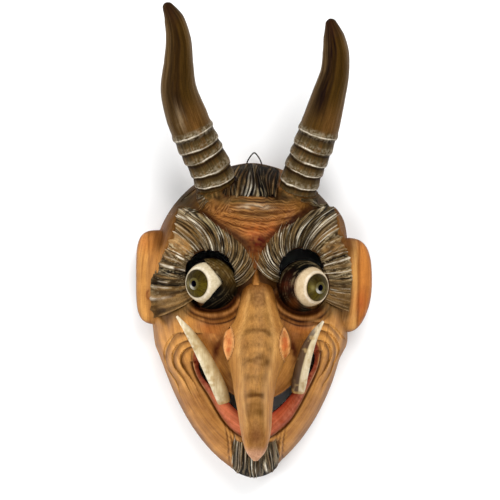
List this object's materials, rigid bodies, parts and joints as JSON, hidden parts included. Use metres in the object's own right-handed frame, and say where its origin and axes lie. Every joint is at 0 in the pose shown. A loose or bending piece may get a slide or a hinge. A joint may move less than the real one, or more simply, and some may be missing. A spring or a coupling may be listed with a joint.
{
  "type": "carnival mask",
  "caption": "Hollow carved wooden devil mask with ringed horns, bulging eyes, a long hooked nose, tusks and a goatee, lying on its back rim.",
  "frame": {"origin": "middle of the outline seen from the front, in the plane of the flat back rim that the mask lies on", "axes": "+Z out of the face, +Y up the face to the crown and horns, +X to the viewer's right"},
  "size_m": [0.2214, 0.4427, 0.1346],
  "materials": {
    "head": "oiled and stained, satin",
    "nose": "oiled, satin",
    "horn": "dark stain, satin",
    "eye": "painted, satin",
    "tusk": "painted, satin",
    "wire": "dull black iron wire"
  },
  "bodies": {
    "root": {"mask": "head", "nose": "nose", "horn_left": "horn", "horn_right": "horn", "eye_left": "eye", "eye_right": "eye", "tusk_left": "tusk", "tusk_right": "tusk", "hanging_wire": "wire"}
  },
  "joints": []
}
